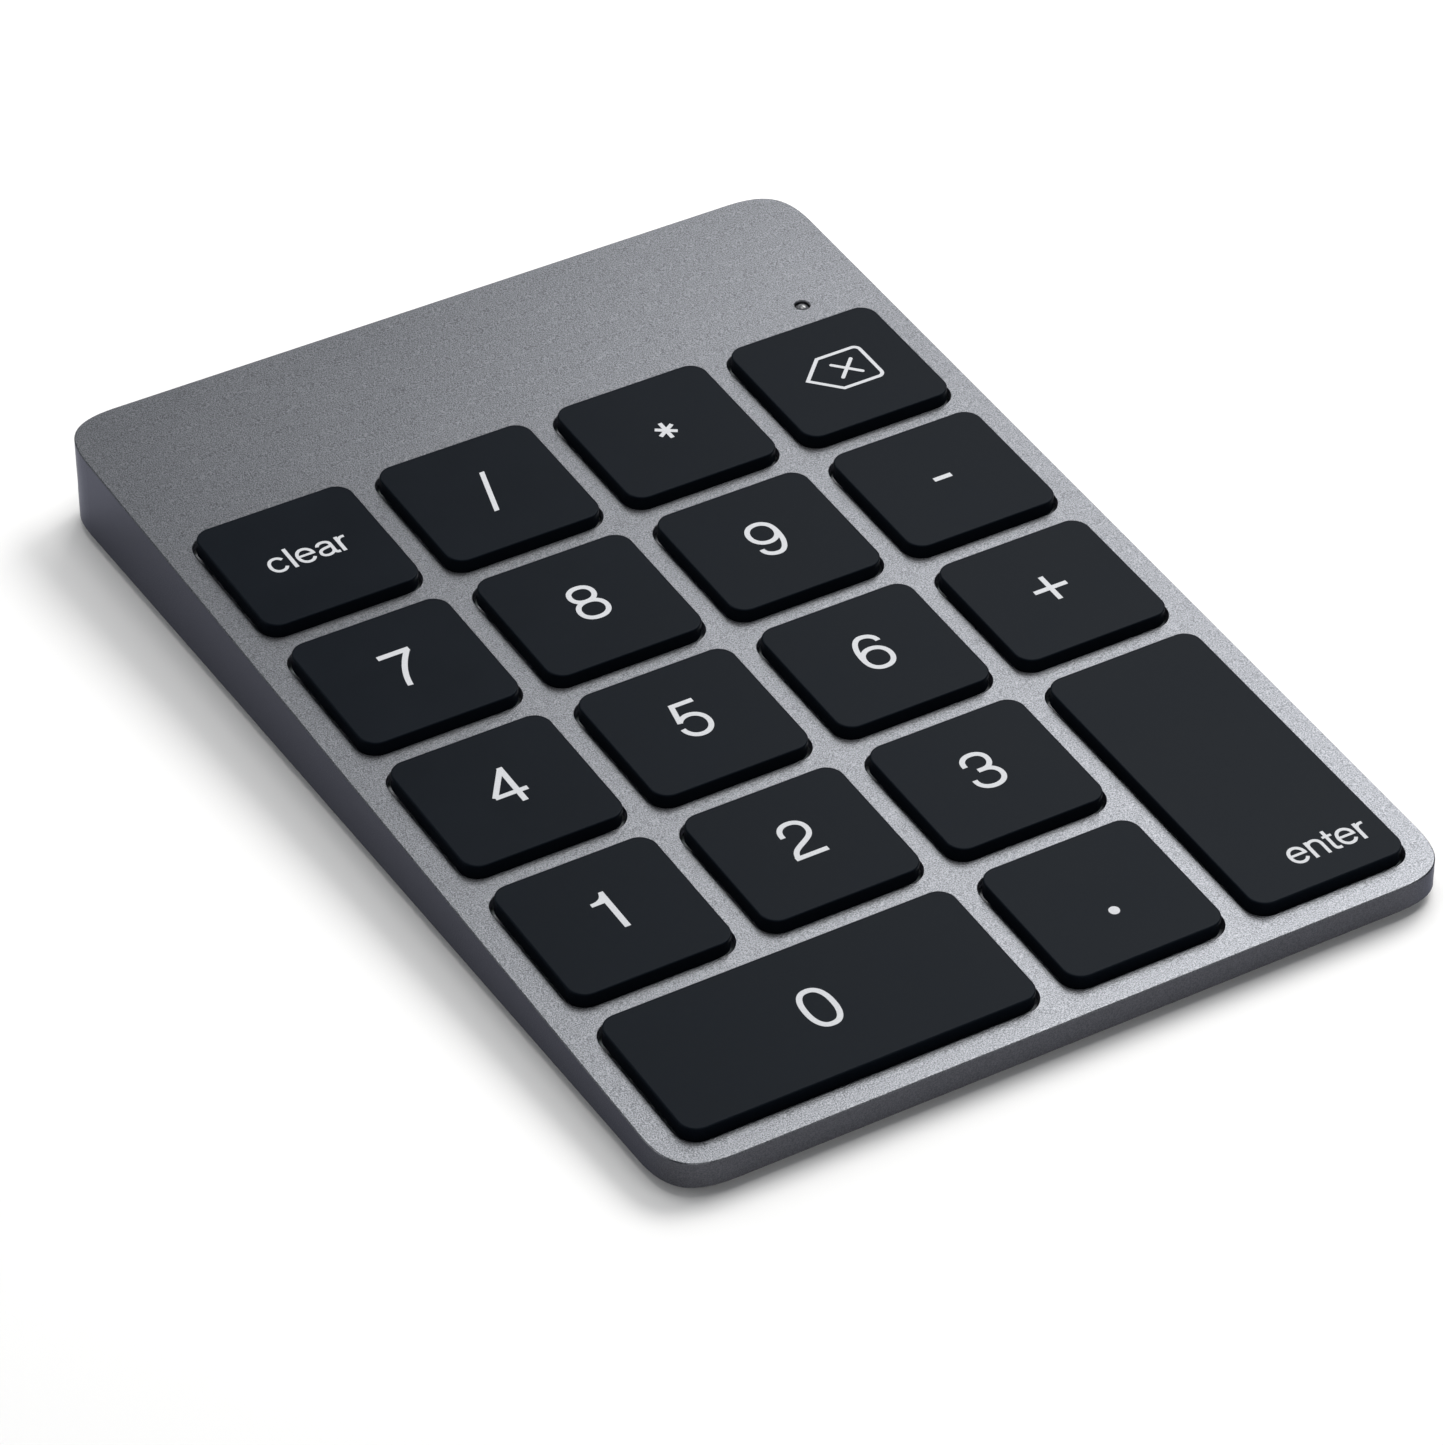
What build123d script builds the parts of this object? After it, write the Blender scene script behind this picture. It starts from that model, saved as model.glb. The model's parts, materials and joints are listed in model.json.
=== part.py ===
"""Slim wireless numeric keypad: an aluminium wedge case, 18 scissor-switch keys, and the parts inside.

Millimetres, +X to the right, +Y to the rear, +Z up. The origin is on the table, under the case's centre.
"""
from build123d import *
import os
from math import asin, cos, degrees, radians, sin

# ---- driving dimensions ---------------------------------------------------------------------------
# case
CASE_WIDTH = 79.0          # across the keys
FACE_DEPTH = 114.5         # front to rear, along the sloping face
WEDGE_DEG = 3.1            # slope of the face, rising to the rear
CORNER_RUN = 6.0           # length of a rounded case corner along each side
CORNER_FULLNESS = 0.73     # handle length of the corner curve, as a share of the run
FRONT_TOP = 3.7            # height of the face's front edge above the table
SHELL_BOTTOM = 1.1         # lower edge of the metal shell
WALL = 1.2                 # side wall of the shell
FACE_THICK = 0.8           # thickness of the shell's face
EDGE_CHAMFER = 0.1         # polished edge round the face and round each key window

# keys
PITCH_X = 19.0
PITCH_Y = 18.6
KEY_X = 16.0
KEY_Y = 15.6
KEY_RADIUS = 1.75
KEY_RISE = 1.1             # key top above the face
KEY_SKIRT = 0.4            # depth of the cap's skirt below the face
KEY_WALL = 0.7
KEY_TOP_THICK = 0.85
KEY_EDGE = 0.15            # rounding of the key's top edge
KEY_TRAVEL = 1.0
WINDOW_GAP = 0.35          # from the key to its window, all round
MARGIN = 3.0               # from the outer keys to the case's edge

# stack under the face, as depths below the face's top
MEMBRANE_TOP = 1.75
MEMBRANE_THICK = 0.2
SUPPORT_THICK = 0.3
STACK_CLEAR = 0.5          # from the shell's inner wall to the membrane and support plate
STACK_REAR = 95.5          # rear edge of the support plate, along the face

# scissor switch and dome
SCISSOR_THICK = 0.46
SCISSOR_ARM = 1.0
SCISSOR_HALF = 4.9         # half length of the outer frame
SCISSOR_OUTER_Y = 4.3      # outer frame's arm, from the key's centre
SCISSOR_INNER_Y = 3.0      # inner frame's arm
SCISSOR_INNER_END = 3.6    # the inner frame's closed end
SCISSOR_MIDDLE = 0.8       # depth of the scissor's pivot below the face
SCISSOR_RISE = 1.4         # height between a frame's two ends
SCISSOR_PIN_RADIUS = 0.18
SCISSOR_PIN_CLEAR = 0.04
HOOK = (0.3, 0.8)          # plan of a hook that holds the scissor
HOOK_XY = [(-5.5, -5.1), (-5.5, 5.1), (4.05, -1.5), (4.05, 1.5)]
DOME_RADIUS = 2.3
DOME_TOP_RADIUS = 1.3
DOME_WALL = 0.25

# stabiliser wires of the two long keys
WIRE_RADIUS = 0.35
WIRE_HALF = 13.0           # half the distance between its arms
WIRE_OFFSET = 6.3          # from the key's centre line to the wire's long bar
WIRE_ARM = 5.0             # arm's length seen from above
WIRE_TIP = 1.6             # length of the inward tips
WIRE_PIVOT = 1.45          # depth of the tips below the face
WIRE_BAR = 0.15            # depth of the long bar below the face
CLIP_X = 8.0               # the cap's clips on the long bar, from its middle
CLIP_SHIFT = 0.08          # the clips sit a little outward, as the bar swings out when pressed

# cover, feet and screws
COVER_GAP = 0.1            # between the shell's wall and the cover
COVER_BOTTOM = 0.5
COVER_THICK = 0.8
FOOT_RADIUS = 4.4
FOOT_SINK = 0.4            # how deep a foot sits in the cover
FOOT_X = 31.0
FOOT_Y = 45.0
FOOT_EDGE = 0.3            # rounding of a foot's lower rim
COVER_SCREW_FACE = [
    (-19.0, 20.1), (19.0, 20.1), (-19.0, 75.9), (19.0, 75.9), (-34.0, 108.5), (34.0, 108.5),
]
PLATE_SCREW_FACE = [
    (-19.0, 38.7), (19.0, 38.7), (-19.0, 57.3), (19.0, 57.3), (0.0, 38.7), (0.0, 75.9),
]
COVER_SCREW = (1.3, 0.4, 0.48)     # head's radius and height, shank's radius
PLATE_SCREW = (1.0, 0.35, 0.38)
BOARD_SCREW = (1.1, 0.4, 0.48)
BOARD_SCREW_LENGTH = 2.2
COVER_SCREW_SEAT = 0.45            # depth of the head's recess in the cover
BOSS_RADIUS = 1.0                  # bosses under the face, between the keys
REAR_BOSS_RADIUS = 1.7             # tall bosses in the rear corners
COVER_BOSS_RADIUS = 1.4            # bosses on the cover, under the support plate
BOARD_POST_RADIUS = 1.5

# rear electronics
BOARD_WIDTH = 60.0
BOARD_FRONT = 36.0         # front edge of the board, from the case's centre
BOARD_REAR = 55.4
BOARD_BOTTOM = 3.0
BOARD_THICK = 1.0
BOARD_POST_XY = [(-27.0, 38.5), (27.0, 38.5), (-27.0, 52.5), (14.0, 52.5)]
PORT_X = 0.0
PORT_WIDTH = 8.94
PORT_HEIGHT = 3.26
PORT_DEPTH = 7.3
PORT_RECESS = 0.3          # from the rear wall's outside to the port's mouth
PORT_METAL = 0.3
PORT_CLEAR = 0.15          # between the port's sleeve and the rear wall, all round
SWITCH_X = 22.0
SWITCH_TRAVEL = 2.0
SWITCH_OPENING = (6.0, 2.0)
LED_FACE = (31.6, 96.95)
LED_HOLE_RADIUS = 0.72
LENS_RADIUS = 0.6
LENS_DOME_RADIUS = 0.72
TAIL_X = -8.0              # middle of the membrane's tail and its connector
TAIL_WIDTH = 8.0
CONNECTOR_HEIGHT = 1.2
BATTERY = (33.0, 36.0, 2.5)
BATTERY_FRONT = 53.0       # along the face

# ---- derived sizes --------------------------------------------------------------------------------
SLOPE = radians(WEDGE_DEG)
CASE_DEPTH = FACE_DEPTH * cos(SLOPE)
FACE = Plane(origin=(0, -CASE_DEPTH / 2, FRONT_TOP), x_dir=(1, 0, 0), z_dir=(0, -sin(SLOPE), cos(SLOPE)))
COVER_TOP = COVER_BOTTOM + COVER_THICK
BOARD_TOP = BOARD_BOTTOM + BOARD_THICK
KEY_UNDERSIDE = KEY_RISE - KEY_TOP_THICK
SUPPORT_TOP = MEMBRANE_TOP + MEMBRANE_THICK
SUPPORT_BOTTOM = SUPPORT_TOP + SUPPORT_THICK
REAR_WALL = CASE_DEPTH / 2
PORT_Z = BOARD_TOP + PORT_HEIGHT / 2
SWITCH_Z = BOARD_TOP + 1.3

# name: (first column, first row, columns wide, rows deep), counted from the front left key
KEYS = {
    "0": (0, 0, 2, 1), "point": (2, 0, 1, 1), "enter": (3, 0, 1, 2),
    "1": (0, 1, 1, 1), "2": (1, 1, 1, 1), "3": (2, 1, 1, 1),
    "4": (0, 2, 1, 1), "5": (1, 2, 1, 1), "6": (2, 2, 1, 1), "plus": (3, 2, 1, 1),
    "7": (0, 3, 1, 1), "8": (1, 3, 1, 1), "9": (2, 3, 1, 1), "minus": (3, 3, 1, 1),
    "clear": (0, 4, 1, 1), "divide": (1, 4, 1, 1), "multiply": (2, 4, 1, 1), "backspace": (3, 4, 1, 1),
}
LONG_KEYS = {"0": 0, "enter": 90}      # key: turn of its wire and scissor about the face's normal


# ---- helpers --------------------------------------------------------------------------------------
def on_face(x, y, z=0.0, turn=0.0):
    """Place on the sloping face: x across, y up the slope, z out of the face."""
    return FACE.location * Pos(x, y, z) * Rot(0, 0, turn)


def face_height(y_face):
    """Height above the table of the face's top, y_face up the slope."""
    return FRONT_TOP + y_face * sin(SLOPE)


def world_y(y_face, depth=0.0):
    """World y of a point on the face's slope, depth below it."""
    return -CASE_DEPTH / 2 + y_face * cos(SLOPE) + depth * sin(SLOPE)


def key_centre(name):
    column, row, wide, deep = KEYS[name]
    x = (column + (wide - 1) / 2 - 1.5) * PITCH_X
    y = MARGIN + KEY_Y / 2 + (row + (deep - 1) / 2) * PITCH_Y
    return x, y


def key_size(name):
    wide, deep = KEYS[name][2:]
    return KEY_X + (wide - 1) * PITCH_X, KEY_Y + (deep - 1) * PITCH_Y


def block(x, y, z):
    """Box from (low, high) pairs."""
    size = [high - low for low, high in (x, y, z)]
    middle = [(high + low) / 2 for low, high in (x, y, z)]
    return Pos(*middle) * Box(*size)


def post(x, y, low, high, radius):
    """Upright cylinder between two heights."""
    return Pos(x, y, (low + high) / 2) * Cylinder(radius, high - low)


def rod(start, end, radius):
    """Round rod between two points."""
    path = Vector(*end) - Vector(*start)
    return Plane(origin=start, z_dir=path) * Pos(0, 0, path.length / 2) * Cylinder(radius, path.length)


def case_outline(inset=0.0):
    """Plan of the case with smoothly curved corners, drawn inset from the outside."""
    half_w = CASE_WIDTH / 2 - inset
    half_d = CASE_DEPTH / 2 - inset
    run = CORNER_RUN - inset
    pull = run * (1 - CORNER_FULLNESS)
    corners = []
    for side_x, side_y in ((1, -1), (1, 1), (-1, 1), (-1, -1)):
        points = [
            (side_x * (half_w - run), side_y * half_d),
            (side_x * (half_w - pull), side_y * half_d),
            (side_x * half_w, side_y * (half_d - pull)),
            (side_x * half_w, side_y * (half_d - run)),
        ]
        corners.append(points if side_x != side_y else points[::-1])
    edges = [Bezier(*points) for points in corners]
    edges += [Line(corners[i - 1][-1], corners[i][0]) for i in range(4)]
    return make_face(edges)


def membrane_rear():
    """World y and z of the membrane's rear top edge."""
    return world_y(STACK_REAR, MEMBRANE_TOP), face_height(STACK_REAR) - MEMBRANE_TOP * cos(SLOPE)


def wedge_block(inset, depth):
    """The case's volume inset from its sides and reaching up to a depth below the face."""
    tall = extrude(Pos(0, 0, SHELL_BOTTOM) * case_outline(inset), 2 * face_height(FACE_DEPTH))
    return split(tall, FACE.offset(-depth), keep=Keep.BOTTOM)


def rear_slot(x, z, width, height):
    """Round-ended slot through the rear wall."""
    wall = Plane(origin=(x, REAR_WALL + 1, z), x_dir=(1, 0, 0), z_dir=(0, -1, 0))
    return extrude(wall * SlotOverall(width, height), WALL + 1.5)


# ---- case -----------------------------------------------------------------------------------------
def top_shell():
    shell = wedge_block(0, 0) - wedge_block(WALL, FACE_THICK)
    for x, y in COVER_SCREW_FACE:
        rear = y > STACK_REAR
        radius = REAR_BOSS_RADIUS if rear else BOSS_RADIUS
        low = COVER_TOP if rear else face_height(y) - MEMBRANE_TOP
        shell += post(x, world_y(y), low, face_height(y) - FACE_THICK / 2, radius)
    for x, y in PLATE_SCREW_FACE:
        shell += on_face(x, y) * post(0, 0, -MEMBRANE_TOP, -FACE_THICK / 2, BOSS_RADIUS)
    for x, y in COVER_SCREW_FACE:
        shell -= post(x, world_y(y), 0, face_height(y) - 1.1, 0.5)
    for x, y in PLATE_SCREW_FACE:
        shell -= on_face(x, y) * post(0, 0, -MEMBRANE_TOP - 1, -1.0, 0.4)
    for name in KEYS:
        x, y = key_centre(name)
        wide, deep = key_size(name)
        window = RectangleRounded(wide + 2 * WINDOW_GAP, deep + 2 * WINDOW_GAP, KEY_RADIUS + WINDOW_GAP)
        shell -= on_face(x, y, -FACE_THICK - 0.5) * extrude(window, FACE_THICK + 1)
    shell -= on_face(*LED_FACE) * Cylinder(LED_HOLE_RADIUS, 4 * FACE_THICK)
    shell -= rear_slot(PORT_X, PORT_Z, PORT_WIDTH + 2 * PORT_CLEAR, PORT_HEIGHT + 2 * PORT_CLEAR)
    shell -= rear_slot(SWITCH_X, SWITCH_Z, *SWITCH_OPENING)
    rim = [
        edge for face in shell.faces().filter_by(GeomType.PLANE)
        if abs(FACE.to_local_coords(face.center()).Z) < 1e-4
        for edge in face.edges()
    ]
    return chamfer(rim, EDGE_CHAMFER)


def bottom_cover():
    cover = extrude(Pos(0, 0, COVER_BOTTOM) * case_outline(WALL + COVER_GAP), COVER_THICK)
    for x in (-FOOT_X, FOOT_X):
        for y in (-FOOT_Y, FOOT_Y):
            cover -= post(x, y, COVER_BOTTOM - 1, COVER_BOTTOM + FOOT_SINK, FOOT_RADIUS + 0.1)
    for x, y in BOARD_POST_XY:
        cover += post(x, y, COVER_TOP - 0.1, BOARD_BOTTOM, BOARD_POST_RADIUS)
        cover -= post(x, y, COVER_TOP, BOARD_BOTTOM + 1, 0.5)
    for x, y in COVER_SCREW_FACE:
        if y < STACK_REAR:
            boss_top = face_height(y) - SUPPORT_BOTTOM - 0.1
            cover += post(x, world_y(y), COVER_TOP - 0.1, boss_top, COVER_BOSS_RADIUS)
        head_radius = COVER_SCREW[0] + 0.15
        cover -= post(x, world_y(y), COVER_BOTTOM - 1, COVER_BOTTOM + COVER_SCREW_SEAT, head_radius)
        cover -= post(x, world_y(y), 0, FRONT_TOP + 9, 0.75)
    return cover


def rubber_feet():
    foot = post(0, 0, 0, COVER_BOTTOM + FOOT_SINK, FOOT_RADIUS)
    foot = fillet(foot.edges().filter_by(GeomType.CIRCLE).sort_by(Axis.Z)[0], FOOT_EDGE)
    places = [(x, y) for x in (-FOOT_X, FOOT_X) for y in (-FOOT_Y, FOOT_Y)]
    return Compound([Pos(x, y, 0) * foot for x, y in places])


def screw(sizes, shank_length):
    """Pan-head screw pointing up, its head's underside on z = 0, with a cross recess."""
    head_radius, head_height, shank_radius = sizes
    body = post(0, 0, -head_height, 0, head_radius) + post(0, 0, 0, shank_length, shank_radius)
    for turn in (0, 90):
        body -= Pos(0, 0, -head_height) * Rot(0, 0, turn) * Box(1.2 * head_radius, 0.3, head_height)
    return body


def cover_screws():
    seat = COVER_BOTTOM + COVER_SCREW_SEAT
    screws = []
    for x, y in COVER_SCREW_FACE:
        length = 3.4 if y > STACK_REAR else face_height(y) - 1.6 - seat
        screws.append(Pos(x, world_y(y), seat) * screw(COVER_SCREW, length))
    return Compound(screws)


def plate_screws():
    return Compound([
        on_face(x, y, -SUPPORT_BOTTOM) * screw(PLATE_SCREW, SUPPORT_BOTTOM - 1.3)
        for x, y in PLATE_SCREW_FACE
    ])


def board_screws():
    upright = screw(BOARD_SCREW, BOARD_SCREW_LENGTH)
    return Compound([Pos(x, y, BOARD_TOP) * Rot(180, 0, 0) * upright for x, y in BOARD_POST_XY])


# ---- keys -----------------------------------------------------------------------------------------
def keycap(name):
    wide, deep = key_size(name)
    height = KEY_RISE + KEY_SKIRT
    body = Pos(0, 0, -KEY_SKIRT) * extrude(RectangleRounded(wide, deep, KEY_RADIUS), height)
    body = fillet(body.faces().sort_by(Axis.Z)[-1].edges(), KEY_EDGE)
    hollow = RectangleRounded(wide - 2 * KEY_WALL, deep - 2 * KEY_WALL, KEY_RADIUS - KEY_WALL)
    body -= Pos(0, 0, -KEY_SKIRT - 1) * extrude(hollow, height + 1 - KEY_TOP_THICK)
    turn = Rot(0, 0, LONG_KEYS.get(name, 0))
    for x in (-5.4, 5.4):
        for y in (-2.0, 2.0):
            body += turn * block((x - 0.2, x + 0.2), (y - 0.5, y + 0.5), (-0.3, KEY_UNDERSIDE + 0.1))
    if name in LONG_KEYS:
        y = WIRE_OFFSET + CLIP_SHIFT
        for x in (-CLIP_X, CLIP_X):
            clip = block((x - 0.6, x + 0.6), (y - 0.85, y + 0.85), (-0.5, KEY_UNDERSIDE + 0.1))
            slot = block((x - 1, x + 1), (y - 0.55, y + 0.55), (-1, -WIRE_BAR + WIRE_RADIUS + 0.08))
            body += turn * (clip - slot)
    return on_face(*key_centre(name)) * body


def scissor_frame(y_arm, start, end):
    """Flat U-shaped frame with its closed end at +x and a round stub on each arm's open end."""
    half = SCISSOR_THICK / 2
    frame = block((end - 0.6, end), (-y_arm, y_arm), (-half, half))
    for side in (-1, 1):
        inner = side * y_arm - SCISSOR_ARM / 2
        frame += block((start, end), (inner, inner + SCISSOR_ARM), (-half, half))
        stub = side * (y_arm + SCISSOR_ARM / 2)
        frame += rod((start + half, stub - side * 0.2, 0), (start + half, stub + side * 0.2, 0), half)
    return frame


def scissor(name):
    """Two crossed frames that pivot on each other in the middle."""
    tilt = degrees(asin(SCISSOR_RISE / 2 / SCISSOR_HALF))
    outer = scissor_frame(SCISSOR_OUTER_Y, -SCISSOR_HALF, SCISSOR_HALF)
    inner = scissor_frame(SCISSOR_INNER_Y, -SCISSOR_HALF, SCISSOR_INNER_END)
    face_out = SCISSOR_OUTER_Y + SCISSOR_ARM / 2
    bore = SCISSOR_PIN_RADIUS + SCISSOR_PIN_CLEAR
    for side in (-1, 1):
        boss = side * (face_out - SCISSOR_ARM)
        outer += rod((0, boss, 0), (0, side * face_out, 0), 0.42)
        outer -= rod((0, boss - side, 0), (0, side * (face_out + 1), 0), bore)
        inner += rod((0, side * SCISSOR_INNER_Y, 0), (0, side * (face_out - 0.1), 0), SCISSOR_PIN_RADIUS)
    place = on_face(*key_centre(name), -SCISSOR_MIDDLE, LONG_KEYS.get(name, 0))
    return Compound([place * Rot(0, -tilt, 0) * outer, place * Rot(0, tilt, 0) * inner])


def rubber_domes():
    """Collapsible silicone domes, one under each key."""
    top = MEMBRANE_TOP + KEY_UNDERSIDE - 0.05
    outside = Polyline((0, 0), (DOME_RADIUS, 0), (DOME_RADIUS, 0.3), (DOME_TOP_RADIUS, top - 0.5),
                       (DOME_TOP_RADIUS, top), (0, top), close=True)
    inside = Polyline((0, -0.1), (DOME_RADIUS - DOME_WALL, -0.1), (DOME_RADIUS - DOME_WALL, 0.2),
                      (DOME_TOP_RADIUS - DOME_WALL, top - 0.7), (0, top - 0.7), close=True)
    dome = revolve(Plane.XZ * make_face(outside), Axis.Z) - revolve(Plane.XZ * make_face(inside), Axis.Z)
    dome += post(0, 0, top - 1.1, top - 0.6, 0.6)
    return Compound([on_face(*key_centre(name), -MEMBRANE_TOP) * dome for name in KEYS])


def stabiliser_bar(name):
    """Bent steel wire that keeps a long key level: a long bar, two arms and two inward tips."""
    far = WIRE_OFFSET
    near = WIRE_OFFSET - WIRE_ARM
    bar_end = (WIRE_HALF, far, -WIRE_BAR)
    pivot = (WIRE_HALF, near, -WIRE_PIVOT)
    tip = (WIRE_HALF - WIRE_TIP, near, -WIRE_PIVOT)
    half = rod((0, far, -WIRE_BAR), bar_end, WIRE_RADIUS) + rod(bar_end, pivot, WIRE_RADIUS)
    half += rod(pivot, tip, WIRE_RADIUS)
    half += Pos(*bar_end) * Sphere(WIRE_RADIUS)
    half += Pos(*pivot) * Sphere(WIRE_RADIUS)
    return on_face(*key_centre(name), turn=LONG_KEYS[name]) * (half + mirror(half, Plane.YZ))


# ---- switch stack ---------------------------------------------------------------------------------
def stack_sheet(depth, thick, inset):
    """Sheet parallel to the face that fills the shell's inside under the keys."""
    slab = on_face(0, STACK_REAR / 2, -depth - thick / 2) * Box(CASE_WIDTH, STACK_REAR, thick)
    return wedge_block(WALL + inset, depth) & slab


def support_hooks(name, grow):
    """Upright hooks that hold a scissor; grown, they are the openings around them."""
    heights = (-SUPPORT_TOP - 0.1, KEY_UNDERSIDE - KEY_TRAVEL - 0.1)
    half_x = HOOK[0] / 2 + grow
    half_y = HOOK[1] / 2 + grow
    place = on_face(*key_centre(name), turn=LONG_KEYS.get(name, 0))
    return [place * block((x - half_x, x + half_x), (y - half_y, y + half_y), heights) for x, y in HOOK_XY]


def wire_bearings(name, opening):
    """Bearings that hold a long key's wire, or the openings that leave room for them and the wire."""
    heights = (-SUPPORT_TOP - 0.1, KEY_UNDERSIDE - KEY_TRAVEL - 0.1)
    y = WIRE_OFFSET - WIRE_ARM
    place = on_face(*key_centre(name), turn=LONG_KEYS[name])
    pieces = []
    for side in (-1, 1):
        x = side * (WIRE_HALF - WIRE_TIP + 0.35)
        if opening:
            pieces.append(place * block((x - 1.9, x + 1.9), (y - 1.2, y + 1.8), heights))
            continue
        bearing = block((x - 0.35, x + 0.35), (y - 0.7, y + 0.7), heights)
        bearing -= rod((x - 1, y, -WIRE_PIVOT), (x + 1, y, -WIRE_PIVOT), WIRE_RADIUS + 0.05)
        pieces.append(place * bearing)
    return pieces


def screw_clearances(radius):
    """Holes that let the screws and the shell's bosses through the stack."""
    holes = [post(x, world_y(y), 0, FRONT_TOP + 9, radius) for x, y in COVER_SCREW_FACE if y < STACK_REAR]
    return holes + [on_face(x, y) * Cylinder(radius, 8) for x, y in PLATE_SCREW_FACE]


def support_plate():
    plate = stack_sheet(SUPPORT_TOP, SUPPORT_THICK, STACK_CLEAR)
    for name in KEYS:
        for hook in support_hooks(name, 0):
            plate += hook
    for name in LONG_KEYS:
        for bearing in wire_bearings(name, opening=False):
            plate += bearing
    for hole in screw_clearances(0.6):
        plate -= hole
    return plate


def membrane():
    """Contact sheet under the domes, with a tail that runs down to its connector on the board."""
    sheet = stack_sheet(MEMBRANE_TOP, MEMBRANE_THICK, STACK_CLEAR)
    for name in KEYS:
        for opening in support_hooks(name, 0.1):
            sheet -= opening
    for name in LONG_KEYS:
        for opening in wire_bearings(name, opening=True):
            sheet -= opening
    for hole in screw_clearances(BOSS_RADIUS + 0.15):
        sheet -= hole
    y, z = membrane_rear()
    top = z - 0.03
    bottom = z - MEMBRANE_THICK + 0.01
    end = BOARD_TOP + CONNECTOR_HEIGHT
    profile = make_face(Polyline(
        (y - 0.3, top), (y + 0.2, top), (y + 1.3, end), (y + 1.1, end), (y + 0.1, bottom), (y - 0.3, bottom),
        close=True,
    ))
    side = Plane(origin=(TAIL_X - TAIL_WIDTH / 2, 0, 0), x_dir=(0, 1, 0), z_dir=(1, 0, 0))
    return sheet + extrude(side * profile, TAIL_WIDTH)


# ---- electronics ----------------------------------------------------------------------------------
def circuit_board():
    half = BOARD_WIDTH / 2
    board = block((-half, half), (BOARD_FRONT, BOARD_REAR), (BOARD_BOTTOM, BOARD_TOP))
    board += block((half - 1, LED_FACE[0] + 1.6), (BOARD_FRONT, 44), (BOARD_BOTTOM, BOARD_TOP))
    board = fillet(board.edges().filter_by(Axis.Z), 0.8)
    for x, y in BOARD_POST_XY:
        board -= post(x, y, BOARD_BOTTOM - 1, BOARD_TOP + 1, 0.6)
    return board


def usb_port_shell():
    """Drawn steel sleeve of the charging port, open to the rear."""
    mouth = REAR_WALL - PORT_RECESS
    place = Plane(origin=(PORT_X, mouth, PORT_Z), x_dir=(1, 0, 0), z_dir=(0, -1, 0))
    body = extrude(place * SlotOverall(PORT_WIDTH, PORT_HEIGHT), PORT_DEPTH)
    bore = SlotOverall(PORT_WIDTH - 2 * PORT_METAL, PORT_HEIGHT - 2 * PORT_METAL)
    return body - extrude(place * Pos(0, 0, -1) * bore, PORT_DEPTH)


def usb_port_tongue():
    """Plastic tongue inside the charging port."""
    inner_end = REAR_WALL - PORT_RECESS - PORT_DEPTH + 1.0
    tongue = block((-3.3, 3.3), (inner_end, inner_end + 5.2), (-0.35, 0.35))
    root = block((-3.0, 3.0), (inner_end, inner_end + 1.4), (-1.1, 1.1))
    return Pos(PORT_X, 0, PORT_Z) * (tongue + root)


def power_switch_housing():
    """Slide switch on the board, with a slot that its lever runs in."""
    rear = REAR_WALL - WALL - 0.4
    body = block((SWITCH_X - 3.6, SWITCH_X + 3.6), (rear - 2.8, rear), (BOARD_TOP, BOARD_TOP + 2.6))
    slot = block((SWITCH_X - 2.2, SWITCH_X + 2.2), (rear - 1.2, rear + 1), (SWITCH_Z - 0.6, SWITCH_Z + 0.6))
    return body - slot


def power_switch_knob():
    """Sliding knob, drawn in its off position."""
    rear = REAR_WALL
    lever = block((-0.7, 0.7), (rear - WALL - 1.4, rear - 0.4), (-0.5, 0.5))
    pad = block((-1.7, 1.7), (rear - 0.8, rear), (-0.85, 0.85))
    pad = fillet(pad.edges().filter_by(Axis.Y), 0.5)
    for groove in (-0.8, 0.0, 0.8):
        pad -= block((groove - 0.12, groove + 0.12), (rear - 0.15, rear + 1), (-2, 2))
    return Pos(SWITCH_X - SWITCH_TRAVEL / 2, 0, SWITCH_Z) * (lever + pad)


def led_chip():
    x, y = LED_FACE
    centre = world_y(y)
    return block((x - 0.8, x + 0.8), (centre - 0.4, centre + 0.4), (BOARD_TOP, BOARD_TOP + 0.6))


def led_lens():
    """Clear light guide from the lamp to a domed tip in the face."""
    x, y = LED_FACE
    length = face_height(y) - BOARD_TOP - 1.0
    guide = post(0, 0, -length, -0.3, LENS_RADIUS)
    guide += post(0, 0, -FACE_THICK - 0.7, -FACE_THICK - 0.1, 1.3)
    guide += Pos(0, 0, -LENS_DOME_RADIUS) * Sphere(LENS_DOME_RADIUS) & post(0, 0, -0.4, 1, LENS_RADIUS)
    return on_face(x, y) * guide


def controller_chip():
    return block((-20, -14), (41.5, 47.5), (BOARD_TOP, BOARD_TOP + 0.85))


def membrane_connector():
    y = membrane_rear()[0]
    return block((TAIL_X - 5, TAIL_X + 5), (y + 0.9, y + 4.9), (BOARD_TOP, BOARD_TOP + CONNECTOR_HEIGHT))


def battery_connector():
    return block((8, 13), (37.5, 40.5), (BOARD_TOP, BOARD_TOP + 1.6))


def battery():
    wide, long, thick = BATTERY
    front = world_y(BATTERY_FRONT)
    cell = block((-wide / 2, wide / 2), (front, front + long), (COVER_TOP, COVER_TOP + thick))
    return fillet(cell.edges().filter_by(Axis.Y), thick * 0.4)


# ---- export ---------------------------------------------------------------------------------------
os.makedirs("parts", exist_ok=True)

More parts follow.
